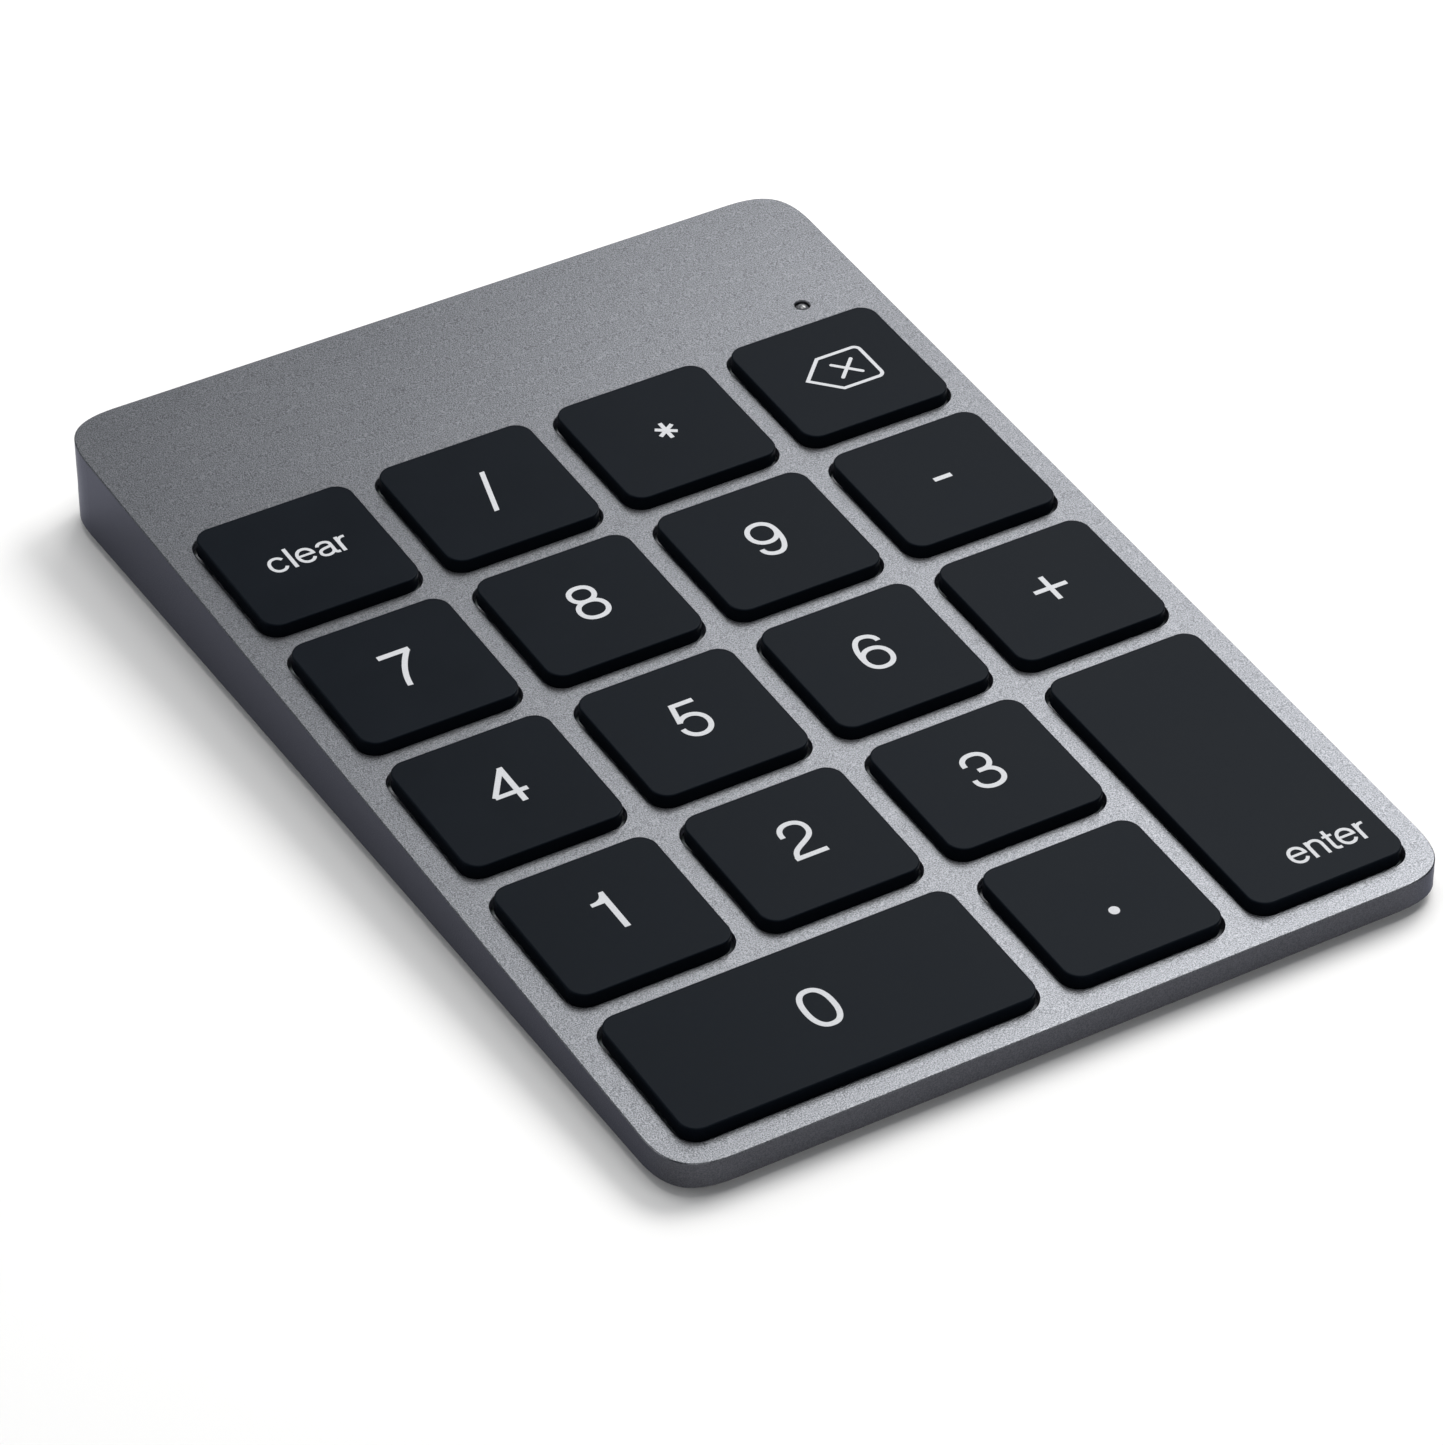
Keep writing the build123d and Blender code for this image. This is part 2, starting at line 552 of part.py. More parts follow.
nodes = {
    "top_shell": top_shell(),
    "bottom_cover": bottom_cover(),
    "rubber_feet": rubber_feet(),
    "cover_screws": cover_screws(),
    "plate_screws": plate_screws(),
    "board_screws": board_screws(),
    "rubber_domes": rubber_domes(),
    "support_plate": support_plate(),
    "membrane": membrane(),
    "circuit_board": circuit_board(),
    "usb_port_shell": usb_port_shell(),
    "usb_port_tongue": usb_port_tongue(),
    "power_switch_housing": power_switch_housing(),
    "power_switch_knob": power_switch_knob(),
    "led_chip": led_chip(),
    "led_lens": led_lens(),
    "controller_chip": controller_chip(),
    "membrane_connector": membrane_connector(),
    "battery_connector": battery_connector(),
    "battery": battery(),
}
for key in KEYS:
    nodes[f"key_{key}"] = keycap(key)
    nodes[f"scissor_{key}"] = scissor(key)
for key in LONG_KEYS:
    nodes[f"stabiliser_bar_{key}"] = stabiliser_bar(key)

for node, shape in nodes.items():
    export_step(shape, f"parts/{node}.step")
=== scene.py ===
"""Looks of the slim numeric keypad: materials, key legends, parts that give way under a key, and the studio.

Metres, +X right, +Y to the rear, +Z up. Legends are drawn in millimetres about the middle of their key's top.
"""
import json
import math
import bmesh
import bpy
from mathutils import Matrix, Vector


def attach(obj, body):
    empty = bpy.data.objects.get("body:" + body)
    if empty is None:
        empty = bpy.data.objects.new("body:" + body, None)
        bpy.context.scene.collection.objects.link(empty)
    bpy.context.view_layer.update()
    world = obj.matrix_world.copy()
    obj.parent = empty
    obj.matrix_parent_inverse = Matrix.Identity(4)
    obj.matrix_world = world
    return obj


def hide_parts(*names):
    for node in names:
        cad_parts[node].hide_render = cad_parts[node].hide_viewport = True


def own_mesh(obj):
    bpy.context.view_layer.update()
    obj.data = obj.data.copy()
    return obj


MM = 0.001

# ---- camera ---------------------------------------------------------------------------------------
CAMERA_AZIMUTH = -30.65
CAMERA_ELEVATION = 38.0
CAMERA_ROLL = -0.16
CAMERA_DISTANCE = 0.5846
CAMERA_AIM = Vector((-0.00256, -0.0027, 0.0))
CAMERA_LENS = 160.7        # millimetres
CAMERA_SENSOR = 36.0       # millimetres across

# ---- light ----------------------------------------------------------------------------------------
LAMPS = [                  # azimuth and elevation in degrees, watts
    (130, 55, 0.78),
    (130, 40, 0.74),
    (100, 50, 2.0),
    (160, 25, 0.23),
    (190, 70, 0.36),
    (0, 88, 0.9),
    (205, 30, 0.3),
    (255, 30, 0.4),
    (340, 30, 0.42),
    (30, 30, 0.2),
]
LAMP_DISTANCE = 0.6
LAMP_SIZE = 0.3
LAMP_COLOUR = (1.0, 0.988, 0.97)
SKY_COLOUR = (0.86, 0.92, 1.0, 1.0)
SKY_STRENGTH = 0.17
FLOOR_COLOUR = (0.85, 0.85, 0.85, 1.0)
FLOOR_HALF = 3.0           # from the middle of the floor to its edges

# ---- what gives way under a pressed key, in millimetres --------------------------------------------
DOME_REACH = 6.0           # a dome is all within this distance of the middle of its key's top

# ---- legends, in millimetres ----------------------------------------------------------------------
INK_HEIGHT = 0.010         # how far the ink stands above the key's top
INK_LAYER = 0.002          # each further stroke of a legend is this much higher, so that none share a face
INK_SINK = 0.004           # how far it reaches into the key, so that no gap shows
STEM = 0.54                # heavier strokes of the digits
BOWL = 0.51                # their curves
SIGN_LINE = 0.51           # strokes of the plus and the slash
STAR_LINE = 0.42           # arms of the asterisk
LETTER_STEM = 0.335        # upright and round strokes of a small letter
LETTER_ARM = 0.315         # its lighter strokes
LETTER_BAR = 0.28          # its level strokes
LETTER_POST = 0.37         # straight uprights
LETTER_HEIGHT = 2.16       # top of a small letter above the baseline
LETTER_MIDDLE = 1.1        # middle of a round letter above the baseline
CLEAR_BASELINE = -1.17     # from the middle of the key
ENTER_BASELINE = -14.2
ICON_LINE = 0.37


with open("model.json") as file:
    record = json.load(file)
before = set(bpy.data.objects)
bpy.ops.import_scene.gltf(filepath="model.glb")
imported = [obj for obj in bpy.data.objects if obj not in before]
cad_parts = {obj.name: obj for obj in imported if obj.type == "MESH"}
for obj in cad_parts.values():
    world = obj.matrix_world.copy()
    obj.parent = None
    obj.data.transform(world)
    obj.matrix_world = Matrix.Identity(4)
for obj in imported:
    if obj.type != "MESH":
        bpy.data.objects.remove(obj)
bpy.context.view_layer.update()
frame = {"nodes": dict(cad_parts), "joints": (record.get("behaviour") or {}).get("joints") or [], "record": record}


# ---- plane shapes: each is a closed prism, given as rings of (x, y) --------------------------------
def arc(x, y, rx, ry, start, end, power=2.0, steps=28):
    """Points of an ellipse, or a squarer superellipse, from one angle to another in degrees."""
    points = []
    for i in range(steps + 1):
        t = math.radians(start + (end - start) * i / steps)
        c, s = math.cos(t), math.sin(t)
        points.append((
            x + rx * math.copysign(abs(c) ** (2 / power), c),
            y + ry * math.copysign(abs(s) ** (2 / power), s),
        ))
    return points


def bezier(a, b, c, d, steps=18):
    """Points of a cubic curve."""
    points = []
    for i in range(steps + 1):
        t = i / steps
        u = 1 - t
        points.append(tuple(
            u ** 3 * a[k] + 3 * u * u * t * b[k] + 3 * u * t * t * c[k] + t ** 3 * d[k] for k in (0, 1)
        ))
    return points


def without_repeats(points):
    """The points as vectors, without neighbours that coincide."""
    kept = [Vector(points[0])]
    for p in points[1:]:
        if (Vector(p) - kept[-1]).length > 1e-4:
            kept.append(Vector(p))
    return kept


def stroke(points, width, closed=False):
    """A line of even width with mitred corners, as pairs of edge points."""
    line = without_repeats(points)
    if closed and (line[0] - line[-1]).length < 1e-4:
        line.pop()
    pairs = []
    count = len(line)
    for i, p in enumerate(line):
        before = line[i - 1] if closed or i else line[i]
        after = line[(i + 1) % count] if closed or i < count - 1 else line[i]
        into = (p - before).normalized() if p != before else (after - p).normalized()
        out = (after - p).normalized() if p != after else into
        across = Vector((-into.y - out.y, into.x + out.x)).normalized()
        reach = width / 2 / max(0.3, across.dot(Vector((-into.y, into.x))))
        pairs.append((p + across * reach, p - across * reach))
    return {"pairs": pairs, "closed": closed}


def outline(points):
    """A filled outline, drawn anticlockwise."""
    return {"ring": without_repeats(points)}


def box_shape(left, right, low, high):
    """A filled rectangle."""
    return outline([(left, low), (right, low), (right, high), (left, high)])


def disc(x, y, radius):
    """A filled circle."""
    return outline(arc(x, y, radius, radius, 0, 352, steps=44))


def moved(shapes, dx, dy):
    """The same shapes, shifted."""
    shift = Vector((dx, dy))
    result = []
    for shape in shapes:
        if "ring" in shape:
            result.append({"ring": [p + shift for p in shape["ring"]]})
        else:
            pairs = [(a + shift, b + shift) for a, b in shape["pairs"]]
            result.append({"pairs": pairs, "closed": shape["closed"]})
    return result


def add_prism(shape, high, verts, faces):
    """Appends one closed prism to the lists of a mesh."""
    base = len(verts)
    low = -INK_SINK
    if "ring" in shape:
        ring = shape["ring"]
        n = len(ring)
        verts += [(p.x, p.y, high) for p in ring] + [(p.x, p.y, low) for p in ring]
        faces.append([base + i for i in range(n)])
        faces.append([base + n + i for i in reversed(range(n))])
        faces += [[base + i, base + n + i, base + n + (i + 1) % n, base + (i + 1) % n] for i in range(n)]
        return
    pairs = shape["pairs"]
    n = len(pairs)
    for left, right in pairs:
        verts += [(left.x, left.y, high), (right.x, right.y, high)]
        verts += [(right.x, right.y, low), (left.x, left.y, low)]
    for i in range(n if shape["closed"] else n - 1):
        a, b = base + 4 * i, base + 4 * ((i + 1) % n)
        faces += [[a + k, a + (k + 1) % 4, b + (k + 1) % 4, b + k] for k in range(4)]
    if not shape["closed"]:
        last = base + 4 * (n - 1)
        faces.append([base + 3, base + 2, base + 1, base])
        faces.append([last, last + 1, last + 2, last + 3])


# ---- digits: places are from the middle of the key ------------------------------------------------
def zero():
    return [stroke(arc(-0.01, 0.02, 1.37, 2.23, 0, 360, 2.35, 72), STEM, closed=True)]


def one():
    flag = bezier((0.28, 2.98), (0.1, 2.18), (-0.35, 2.03), (-1.08, 2.01), 14)
    rest = [(-1.08, 1.58), (0.15, 1.58), (0.15, -1.93), (0.74, -1.93), (0.74, 2.98)]
    return [outline(flag + rest)]


def two():
    top = [(-1.14, 1.22)] + arc(0.135, 1.5, 1.275, 1.22, 180, 0, 2.15)
    middle = bezier((1.41, 1.5), (1.41, 0.72), (0.95, 0.42), (0.2, 0.0))
    lower = bezier((0.2, 0.0), (-0.72, -0.52), (-1.22, -0.72), (-1.3, -1.66))
    return [stroke(top + middle + lower, BOWL), box_shape(-1.58, 1.69, -1.91, -1.4)]


def three():
    upper = [(-1.25, 1.42)] + arc(-0.03, 1.68, 1.215, 1.04, 180, 0, 2.1)
    upper += arc(0.1, 1.66, 1.085, 1.09, 0, -90, 2.1) + [(-0.46, 0.57)]
    lower = [(0.0, 0.57)] + arc(0.1, -0.58, 1.24, 1.15, 90, 0, 2.1)
    lower += arc(-0.04, -0.58, 1.38, 1.16, 0, -180, 2.1) + [(-1.42, -0.4)]
    return [stroke(upper, BOWL), stroke(lower, BOWL)]


def four():
    return [
        box_shape(0.53, 1.1, -2.05, 2.82),
        box_shape(-1.45, 1.79, -0.88, -0.38),
        stroke([(-1.46, -0.62), (0.78, 2.58)], 0.53),
    ]


def five():
    side = [(-0.76, 2.55), (-1.2, 0.18)]
    bowl = arc(-0.02, -0.49, 1.37, 1.4, 146, -176, 2.05, 44)
    return [box_shape(-0.99, 1.41, 2.3, 2.81), stroke(side, 0.52), stroke(bowl, BOWL)]


def nine():
    bowl = arc(-0.03, 1.11, 1.35, 1.37, 0, 360, 2.1, 60)
    tail = arc(-0.02, 0.62, 1.38, 2.59, 14, -90, 2.1) + arc(-0.02, -0.93, 1.24, 1.04, -90, -180, 2.1)
    return [stroke(bowl, BOWL, closed=True), stroke(tail, BOWL)]


def six():
    """A nine turned half way round."""
    turned = []
    for shape in nine():
        pairs = [(Vector((-a.x, 0.6 - a.y)), Vector((-b.x, 0.6 - b.y))) for a, b in shape["pairs"]]
        turned.append({"pairs": pairs, "closed": shape["closed"]})
    return turned


def seven():
    leg = bezier((1.43, 2.25), (0.55, 1.15), (-0.36, -0.35), (-0.54, -2.15), 22)
    return [box_shape(-1.48, 1.73, 2.12, 2.7), stroke(leg, STEM)]


def eight():
    upper = arc(0.04, 1.45, 1.18, 1.03, 0, 360, 2.15, 60)
    lower = arc(0.05, -0.78, 1.38, 1.2, 0, 360, 2.15, 60)
    return [stroke(upper, BOWL, closed=True), stroke(lower, BOWL, closed=True)]


# ---- signs ----------------------------------------------------------------------------------------
def point():
    return [disc(0.0, -1.96, 0.51)]


def plus():
    level = box_shape(-1.77, 1.73, -0.03, -0.03 + SIGN_LINE)
    upright = box_shape(-0.28, -0.28 + SIGN_LINE, -1.53, 1.97)
    return [level, upright]


def minus():
    return [box_shape(-0.96, 0.93, -0.16, 0.38)]


def divide():
    return [outline([(-0.96, -2.8), (-0.96 + SIGN_LINE, -2.8), (0.56 + SIGN_LINE, 2.87), (0.56, 2.87)])]


def multiply():
    """Six-armed asterisk, as three lines through its middle."""
    shapes = []
    for turn, reach in ((90, 1.22), (32, 1.08), (-32, 1.08)):
        x = reach * math.cos(math.radians(turn))
        y = reach * math.sin(math.radians(turn))
        shapes.append(stroke([(-x, -y), (x, y)], STAR_LINE))
    return shapes


def backspace():
    """A tag that points left, with a round-ended cross in it."""
    corner = 0.6
    cross_x = 0.88
    cross_half = 1.08
    tag = [(-3.46, 0.0), (-0.94, -1.93 - corner)]
    tag += arc(2.92, -1.93, corner, corner, -90, 0, steps=10)
    tag += arc(2.92, 1.93, corner, corner, 0, 90, steps=10)
    tag += [(-0.94, 1.93 + corner)]
    shapes = [stroke(tag, ICON_LINE, closed=True)]
    for side in (-1, 1):
        ends = [(cross_x - cross_half, side * -cross_half), (cross_x + cross_half, side * cross_half)]
        shapes.append(stroke(ends, ICON_LINE))
        shapes += [disc(x, y, ICON_LINE / 2) for x, y in ends]
    return shapes


# ---- small letters: x from the letter's left edge, y from the baseline -----------------------------
def letter_c():
    return [stroke(arc(0.97, LETTER_MIDDLE, 0.785, 0.93, 34, 329, 2.1, 44), LETTER_STEM)]


def letter_l():
    return [box_shape(0.01, 0.39, 0.0, 2.91)]


def letter_e():
    ring = arc(0.975, LETTER_MIDDLE, 0.79, 0.93, -4, 329, 2.1, 50)
    return [stroke(ring, LETTER_STEM), box_shape(0.3, 1.76, 1.02, 1.02 + LETTER_BAR)]


def letter_a():
    arch = arc(0.88, 1.53, 0.64, 0.5, 170, 0, 2.1) + [(1.52, 0.55)]
    arch += bezier((1.52, 0.55), (1.52, 0.22), (1.62, 0.17), (1.94, 0.18), 8)
    bowl = bezier((1.52, 1.32), (1.1, 1.12), (0.19, 1.3), (0.19, 0.63), 14)
    bowl += bezier((0.19, 0.63), (0.19, 0.3), (0.5, 0.16), (0.76, 0.16), 10)
    bowl += bezier((0.76, 0.16), (1.15, 0.16), (1.52, 0.42), (1.52, 0.85), 10)
    return [stroke(arch, LETTER_STEM), stroke(bowl, LETTER_ARM)]


def letter_r():
    arm = bezier((0.2, 1.1), (0.22, 1.72), (0.45, 2.02), (1.01, 1.95), 12)
    return [box_shape(0.01, 0.01 + LETTER_POST, 0.0, LETTER_HEIGHT), stroke(arm, LETTER_ARM)]


def letter_n():
    arch = arc(0.84, 1.3, 0.65, 0.74, 180, 0, 2.2) + [(1.49, 0.0)]
    return [box_shape(0.01, 0.01 + LETTER_POST, 0.0, LETTER_HEIGHT), stroke(arch, LETTER_STEM)]


def letter_t():
    stem = [(0.43, 2.68), (0.43, 0.6)] + bezier((0.43, 0.6), (0.43, 0.22), (0.55, 0.16), (1.0, 0.18), 8)
    return [stroke(stem, LETTER_STEM), box_shape(0.0, 0.97, 1.79, 1.79 + LETTER_BAR)]


def word(letters, baseline):
    """Letters, each with the place of its left edge."""
    shapes = []
    for letter, left in letters:
        shapes += moved(letter(), left, baseline)
    return shapes


def clear():
    letters = [(letter_c, -3.98), (letter_l, -1.79), (letter_e, -1.13), (letter_a, 1.02), (letter_r, 3.18)]
    return word(letters, CLEAR_BASELINE)


def enter():
    letters = [(letter_e, -2.03), (letter_n, 0.15), (letter_t, 2.02), (letter_e, 3.08), (letter_r, 5.27)]
    return word(letters, ENTER_BASELINE)


LEGENDS = {
    "0": zero, "1": one, "2": two, "3": three, "4": four,
    "5": five, "6": six, "7": seven, "8": eight, "9": nine,
    "point": point, "plus": plus, "minus": minus, "divide": divide, "multiply": multiply,
    "backspace": backspace, "clear": clear, "enter": enter,
}


# ---- placing --------------------------------------------------------------------------------------
def face_axes():
    """Directions across the keypad, up its slope and out of its face, from a key's joint."""
    press = next(j for j in frame["joints"] if j["name"] == "key_0_press")
    normal = -Vector(press["axis"])
    across = Vector((1, 0, 0))
    return across, normal.cross(across), normal


def key_top(node):
    """Matrix whose origin is the middle of a key's top, with z out of it."""
    axes = face_axes()
    corners = [vertex.co for vertex in frame["nodes"][node].data.vertices]
    spans = [[p.dot(axis) for p in corners] for axis in axes]
    places = [(min(spans[0]) + max(spans[0])) / 2, (min(spans[1]) + max(spans[1])) / 2, max(spans[2])]
    origin = sum((axis * place for axis, place in zip(axes, places)), Vector())
    turn = Matrix(axes).transposed().to_4x4()
    return Matrix.Translation(origin) @ turn


def make_legend(name, shapes, ink):
    """Raised ink on a key's top."""
    verts, faces = [], []
    for layer, shape in enumerate(shapes):
        add_prism(shape, INK_HEIGHT + layer * INK_LAYER, verts, faces)
    mesh = bpy.data.meshes.new(f"legend_{name}")
    mesh.from_pydata(verts, [], faces)
    mesh.transform(key_top(f"key_{name}") @ Matrix.Scale(MM, 4))
    mesh.materials.append(ink)
    mesh.validate()
    legend = bpy.data.objects.new(f"legend_{name}", mesh)
    bpy.context.collection.objects.link(legend)
    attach(legend, f"key_{name}")


def keep_near(mesh, place, reach):
    """Cuts a mesh of separate solids down to those round one place."""
    solids = bmesh.new()
    solids.from_mesh(mesh)
    far = [vertex for vertex in solids.verts if (vertex.co - place).length > reach]
    bmesh.ops.delete(solids, geom=far, context="VERTS")
    solids.to_mesh(mesh)
    solids.free()


def make_yielding(name, key, node, slot, paints):
    """Copy of a CAD node's mesh that stands for it under one key, hung on the case."""
    mesh = frame["nodes"][node].data.copy()
    mesh.materials.clear()
    mesh.materials.append(paints[slot])
    piece = bpy.data.objects.new(name, mesh)
    bpy.context.collection.objects.link(piece)
    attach(piece, "case")
    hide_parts(node)
    top = key_top(f"key_{key}")
    if node == "rubber_domes":
        keep_near(mesh, top.translation, DOME_REACH * MM)
    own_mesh(piece)


# ---- materials ------------------------------------------------------------------------------------
def linear(r, g, b):
    """Screen colour 0-255 to a linear colour."""
    def one_channel(v):
        v /= 255
        return v / 12.92 if v <= 0.04045 else ((v + 0.055) / 1.055) ** 2.4

    return one_channel(r), one_channel(g), one_channel(b), 1.0


class Paint:
    """A node material under construction."""

    def __init__(self, name, **values):
        self.material = bpy.data.materials.new(name)
        self.material.use_nodes = True
        self.nodes = self.material.node_tree.nodes
        self.links = self.material.node_tree.links
        self.shader = self.nodes["Principled BSDF"]
        self.place = self.nodes.new("ShaderNodeTexCoord").outputs["Object"]
        for key, value in values.items():
            self.shader.inputs[key.replace("_", " ")].default_value = value

    def noise(self, per_mm, detail=2.0, roughness=0.5):
        """Noise with so many features to the millimetre."""
        node = self.nodes.new("ShaderNodeTexNoise")
        node.inputs["Scale"].default_value = per_mm / MM
        node.inputs["Detail"].default_value = detail
        node.inputs["Roughness"].default_value = roughness
        self.links.new(self.place, node.inputs["Vector"])
        return node.outputs["Fac"]

    def spread(self, value, low, high, start=0.3, end=0.7):
        """Maps a noise onto a range of numbers."""
        node = self.nodes.new("ShaderNodeMapRange")
        node.inputs["From Min"].default_value = start
        node.inputs["From Max"].default_value = end
        node.inputs["To Min"].default_value = low
        node.inputs["To Max"].default_value = high
        self.links.new(value, node.inputs["Value"])
        return node.outputs["Result"]

    def colours(self, value, low, high, start=0.3, end=0.7):
        """Maps a noise onto a mix of two colours."""
        node = self.nodes.new("ShaderNodeValToRGB")
        node.color_ramp.elements[0].position = start
        node.color_ramp.elements[0].color = low
        node.color_ramp.elements[1].position = end
        node.color_ramp.elements[1].color = high
        self.links.new(value, node.inputs["Fac"])
        return node.outputs["Color"]

    def upward(self):
        """1 on faces that look up or down, 0 on upright ones: the mask for the painted shade on upright faces."""
        split = self.nodes.new("ShaderNodeSeparateXYZ")
        self.links.new(self.nodes["Texture Coordinate"].outputs["Normal"], split.inputs["Vector"])
        size = self.nodes.new("ShaderNodeMath")
        size.operation = "ABSOLUTE"
        self.links.new(split.outputs["Z"], size.inputs[0])
        return self.spread(size.outputs["Value"], 0.0, 1.0, 0.3, 0.8)

    def mix(self, factor, first, second):
        """First colour at 0, second at 1."""
        node = self.nodes.new("ShaderNodeMix")
        node.data_type = "RGBA"
        self.links.new(factor, node.inputs["Factor"])
        self.links.new(first, node.inputs["A"])
        self.links.new(second, node.inputs["B"])
        return node.outputs["Result"]

    def set(self, name, output):
        """Drives one input of the shader."""
        self.links.new(output, self.shader.inputs[name])

    def bump(self, height, depth):
        """Fine relief, with its depth in millimetres."""
        node = self.nodes.new("ShaderNodeBump")
        node.inputs["Distance"].default_value = depth * MM
        self.links.new(height, node.inputs["Height"])
        self.links.new(node.outputs["Normal"], self.shader.inputs["Normal"])


def blasted_aluminium():
    """Bead-blasted, dyed and anodised: a fine sparkle over a soft sheen, with painted shade that darkens the
    upright sides.
    """
    paint = Paint("blasted_aluminium", Metallic=1.0, Specular_Tint=(0.6, 0.61, 0.68, 1.0))
    grain = paint.noise(8.0, 1.0)
    patches = paint.noise(0.05, 3.0)
    top = paint.colours(grain, (0.072, 0.076, 0.0818, 1), (0.198, 0.204, 0.2205, 1))
    # painted shade: upright faces, the outer walls and the walls round the keys, get these darker side colours
    # instead of the top ones
    side = paint.colours(grain, (0.055, 0.056, 0.064, 1), (0.089, 0.091, 0.103, 1))
    paint.set("Base Color", paint.mix(paint.upward(), side, top))
    paint.set("Roughness", paint.spread(patches, 0.31, 0.34))
    paint.bump(grain, 0.016)
    return paint.material


def key_plastic():
    """Matte black cap with a very fine moulded texture and a faint polish from fingers."""
    paint = Paint("key_plastic", Specular_IOR_Level=0.037, Specular_Tint=(0.8, 0.9, 1.0, 1.0))
    grain = paint.noise(14.0, 2.0)
    touch = paint.noise(0.12, 2.0)
    paint.set("Base Color", paint.colours(touch, (0.0030, 0.0046, 0.0073, 1), (0.0038, 0.0056, 0.0087, 1)))
    paint.set("Roughness", paint.spread(touch, 0.34, 0.38))
    paint.bump(grain, 0.002)
    return paint.material


def key_ink():
    """Pale laser-white print, slightly uneven."""
    paint = Paint("key_ink", Roughness=0.55)
    speckle = paint.noise(8.0, 2.0)
    paint.set("Base Color", paint.colours(speckle, linear(180, 182, 186), linear(190, 192, 196)))
    return paint.material


def textured_plastic(name, colour, roughness, per_mm=4.0, depth=0.02):
    """Spark-eroded moulded plastic."""
    paint = Paint(name)
    grain = paint.noise(per_mm, 3.0)
    lighter = tuple(min(1.0, c * 1.25) for c in colour[:3]) + (1.0,)
    paint.set("Base Color", paint.colours(grain, colour, lighter))
    paint.set("Roughness", paint.spread(grain, roughness - 0.06, roughness + 0.06))
    paint.bump(grain, depth)
    return paint.material


def foot_rubber():
    """Dull rubber with a little dust."""
    paint = Paint("foot_rubber")
    grain = paint.noise(6.0, 3.0)
    dust = paint.noise(0.3, 4.0)
    paint.set("Base Color", paint.colours(dust, linear(26, 26, 27), linear(40, 40, 41)))
    paint.set("Roughness", paint.spread(dust, 0.62, 0.8))
    paint.bump(grain, 0.01)
    return paint.material


def worked_steel(name, colour, roughness, stretch=(1, 1, 1)):
    """Bare steel with fine rolling or turning lines."""
    paint = Paint(name, Metallic=1.0)
    mapping = paint.nodes.new("ShaderNodeMapping")
    mapping.inputs["Scale"].default_value = stretch
    paint.links.new(paint.place, mapping.inputs["Vector"])
    paint.place = mapping.outputs["Vector"]
    lines = paint.noise(3.0, 4.0)
    darker = tuple(c * 0.8 for c in colour[:3]) + (1.0,)
    paint.set("Base Color", paint.colours(lines, darker, colour))
    paint.set("Roughness", paint.spread(lines, roughness - 0.08, roughness + 0.08))
    paint.bump(lines, 0.004)
    return paint.material


def silicone():
    """Milky, slightly see-through rubber."""
    paint = Paint("silicone", Roughness=0.5, Transmission_Weight=0.25)
    haze = paint.noise(1.2, 2.0)
    paint.set("Base Color", paint.colours(haze, linear(190, 192, 190), linear(216, 218, 216)))
    return paint.material


def lens_clear():
    """Smoky clear plastic with a polished dome."""
    paint = Paint("lens_clear", Roughness=0.08, Specular_IOR_Level=1.0)
    haze = paint.noise(2.0, 2.0)
    paint.set("Base Color", paint.colours(haze, linear(70, 72, 76), linear(92, 94, 98)))
    return paint.material


def board_laminate():
    """Solder mask with a faint weave and copper tracks under it."""
    paint = Paint("board_laminate", Roughness=0.32)
    tracks = paint.noise(0.9, 0.0)
    paint.set("Base Color", paint.colours(tracks, linear(12, 58, 40), linear(28, 92, 62), 0.48, 0.52))
    paint.bump(tracks, 0.02)
    return paint.material


def battery_foil():
    """Creased aluminium pouch."""
    paint = Paint("battery_foil", Metallic=0.8)
    crease = paint.noise(0.35, 5.0)
    paint.set("Base Color", paint.colours(crease, linear(176, 178, 182), linear(208, 210, 212)))
    paint.set("Roughness", paint.spread(crease, 0.25, 0.4))
    paint.bump(crease, 0.12)
    return paint.material


def membrane_film():
    """Clear film with printed silver tracks."""
    paint = Paint("membrane_film", Roughness=0.3)
    tracks = paint.noise(0.5, 0.0)
    paint.set("Base Color", paint.colours(tracks, linear(150, 158, 160), linear(196, 200, 204), 0.49, 0.53))
    paint.bump(tracks, 0.01)
    return paint.material


def node_materials():
    """The record's material slots, with a material for each."""
    return {
        "shell_aluminium": blasted_aluminium(),
        "cover_plastic": textured_plastic("cover_plastic", linear(30, 31, 33), 0.6),
        "foot_rubber": foot_rubber(),
        "screw_steel": worked_steel("screw_steel", linear(70, 71, 75), 0.35),
        "dome_silicone": silicone(),
        "plate_steel": worked_steel("plate_steel", linear(190, 191, 192), 0.35, (0.1, 1, 1)),
        "membrane_film": membrane_film(),
        "board_laminate": board_laminate(),
        "port_steel": worked_steel("port_steel", linear(196, 197, 199), 0.28, (1, 0.1, 1)),
        "connector_plastic": textured_plastic("black_plastic", linear(24, 24, 26), 0.5, 8.0, 0.006),
        "knob_plastic": textured_plastic("knob_plastic", linear(34, 35, 38), 0.5, 9.0, 0.006),
        "led_body": textured_plastic("led_body", linear(210, 210, 200), 0.4, 6.0, 0.004),
        "lens_clear": lens_clear(),
        "chip_plastic": textured_plastic("chip_plastic", linear(22, 22, 24), 0.55, 9.0, 0.006),
        "battery_foil": battery_foil(),
        "key_plastic": key_plastic(),
        "scissor_plastic": textured_plastic("scissor_plastic", linear(214, 214, 208), 0.45, 6.0, 0.004),
        "wire_steel": worked_steel("wire_steel", linear(180, 181, 183), 0.3),
    }


def paint_nodes(paints):
    """Gives every CAD node the material of its slot."""
    for subpart in frame["record"]["subparts"]:
        node = frame["nodes"][subpart["node"]]
        for material_slot in node.material_slots:
            material_slot.link = "OBJECT"
            material_slot.material = paints[subpart["material_slot"]]


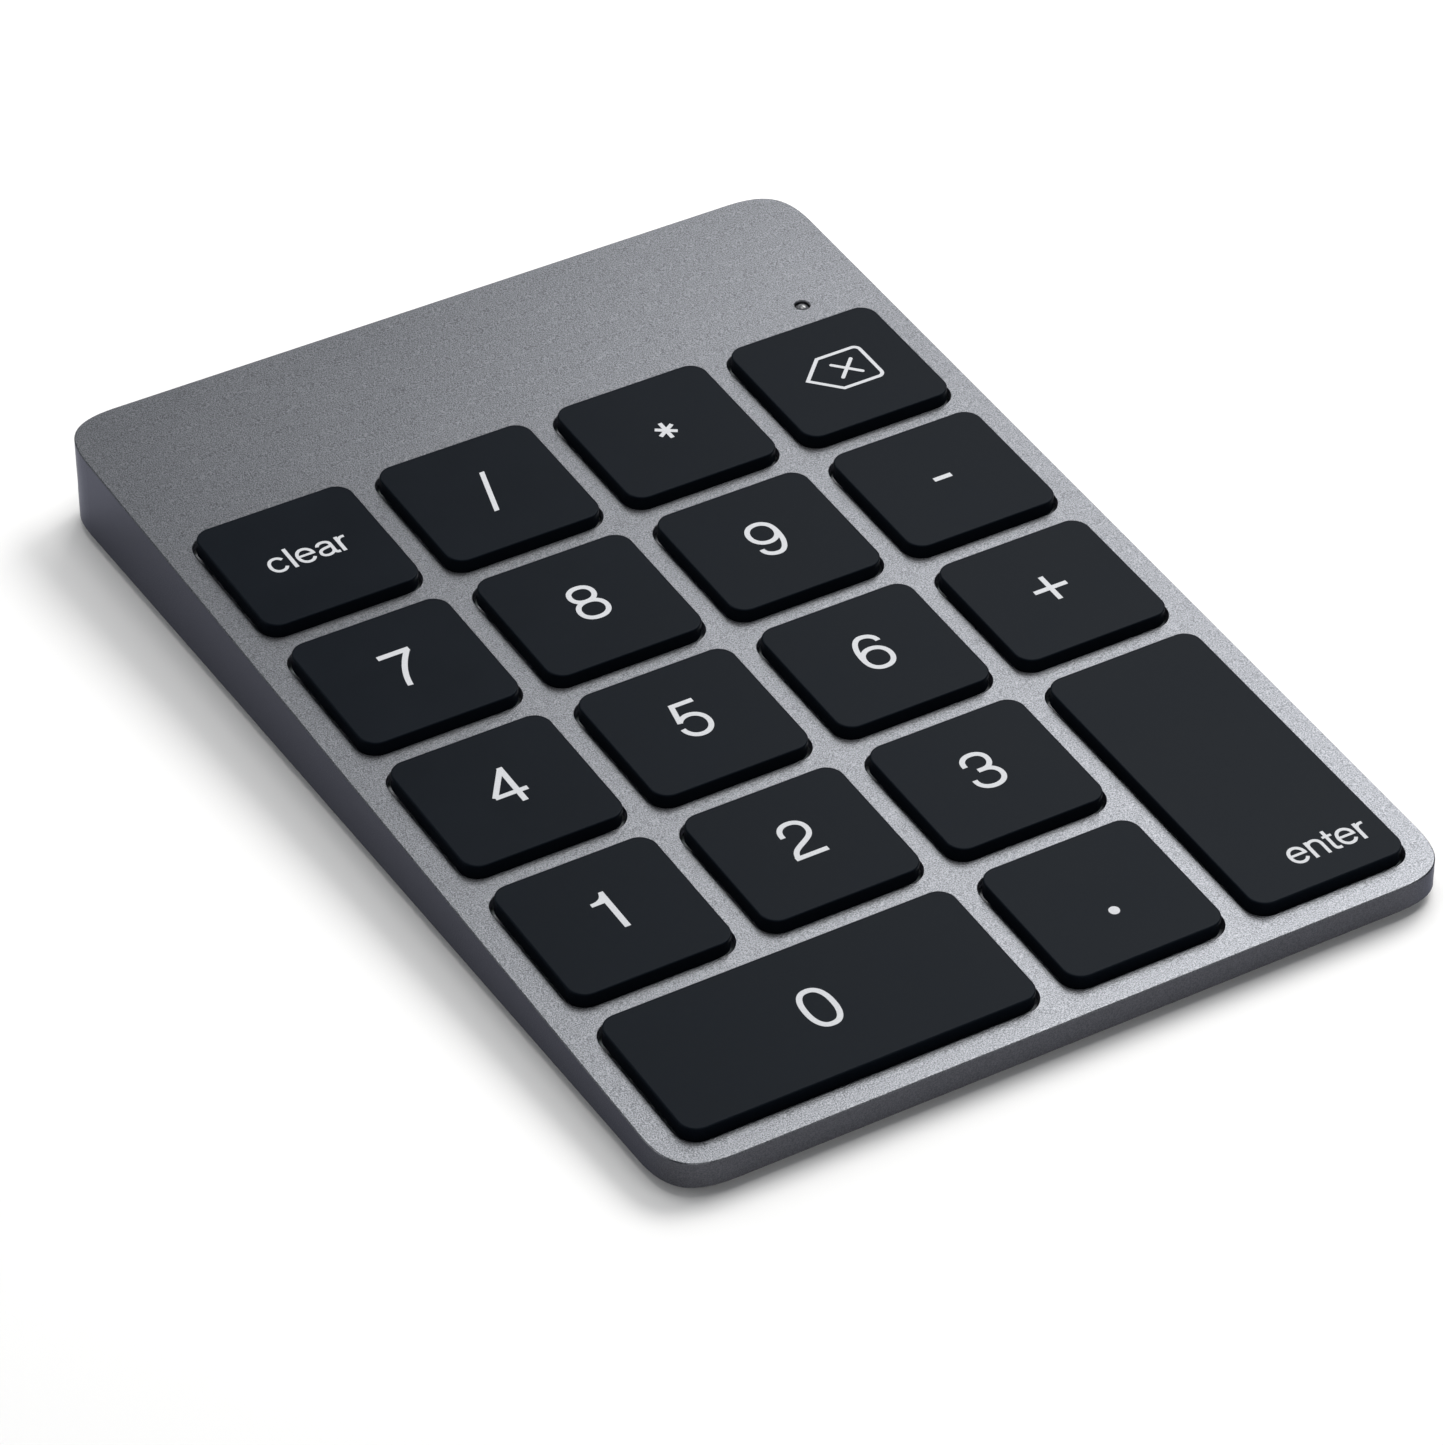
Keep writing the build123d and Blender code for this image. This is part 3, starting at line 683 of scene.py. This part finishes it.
# ---- floor, light and camera ----------------------------------------------------------------------
def direction(azimuth, elevation):
    """Unit vector towards a place round the object; azimuth 0 is in front, 90 to the right."""
    a, e = math.radians(azimuth), math.radians(elevation)
    return Vector((math.sin(a) * math.cos(e), -math.cos(a) * math.cos(e), math.sin(e)))


def look_from(thing, place, target):
    """Puts a lamp at a place, facing the target."""
    thing.location = place
    thing.rotation_euler = (target - place).to_track_quat("-Z", "Y").to_euler()


def make_floor():
    """Plain pale sheet under the keypad."""
    corners = [(x * FLOOR_HALF, y * FLOOR_HALF, 0) for x, y in ((-1, -1), (1, -1), (1, 1), (-1, 1))]
    mesh = bpy.data.meshes.new("floor")
    mesh.from_pydata(corners, [], [(0, 1, 2, 3)])
    floor = bpy.data.objects.new("floor", mesh)
    bpy.context.collection.objects.link(floor)
    paper = Paint("floor_paper", Base_Color=FLOOR_COLOUR, Roughness=0.9, Specular_IOR_Level=0.1)
    mesh.materials.append(paper.material)


def soft_light(name, azimuth, elevation, power):
    """Square panel that faces the middle of the keypad."""
    light = bpy.data.lights.new(name, "AREA")
    light.size = LAMP_SIZE
    light.energy = power
    light.color = LAMP_COLOUR
    lamp = bpy.data.objects.new(name, light)
    bpy.context.collection.objects.link(lamp)
    look_from(lamp, direction(azimuth, elevation) * LAMP_DISTANCE, Vector((0, 0, 0)))


def light_scene():
    """Faint sky and a ring of soft panels, with a plain colour transform."""
    world = bpy.data.worlds.new("studio")
    world.use_nodes = True
    world.node_tree.nodes["Background"].inputs["Color"].default_value = SKY_COLOUR
    world.node_tree.nodes["Background"].inputs["Strength"].default_value = SKY_STRENGTH
    bpy.context.scene.world = world
    for number, (azimuth, elevation, power) in enumerate(LAMPS):
        soft_light(f"lamp_{number}", azimuth, elevation, power)
    settings = bpy.context.scene.view_settings
    settings.view_transform = "Standard"
    settings.look = "None"


def make_camera():
    """Long lens from the front left, turned by a slight roll."""
    camera = bpy.data.cameras.new("camera")
    camera.lens = CAMERA_LENS
    camera.sensor_width = CAMERA_SENSOR
    camera.clip_start = 0.01
    camera.clip_end = 20.0
    stand = bpy.data.objects.new("camera", camera)
    bpy.context.collection.objects.link(stand)
    back = direction(CAMERA_AZIMUTH, CAMERA_ELEVATION)
    stand.location = CAMERA_AIM + back * CAMERA_DISTANCE
    level = (-back).to_track_quat("-Z", "Y").to_matrix()
    roll = Matrix.Rotation(math.radians(CAMERA_ROLL), 3, "Z")
    stand.rotation_euler = (level @ roll).to_euler()
    bpy.context.scene.camera = stand


# ---- making ---------------------------------------------------------------------------------------
materials = node_materials()
paint_nodes(materials)
ink = key_ink()
for key, drawing in LEGENDS.items():
    make_legend(key, drawing(), ink)
    make_yielding(f"dome_{key}", key, "rubber_domes", "dome_silicone", materials)
    make_yielding(f"folding_scissor_{key}", key, f"scissor_{key}", "scissor_plastic", materials)
make_floor()
light_scene()
make_camera()
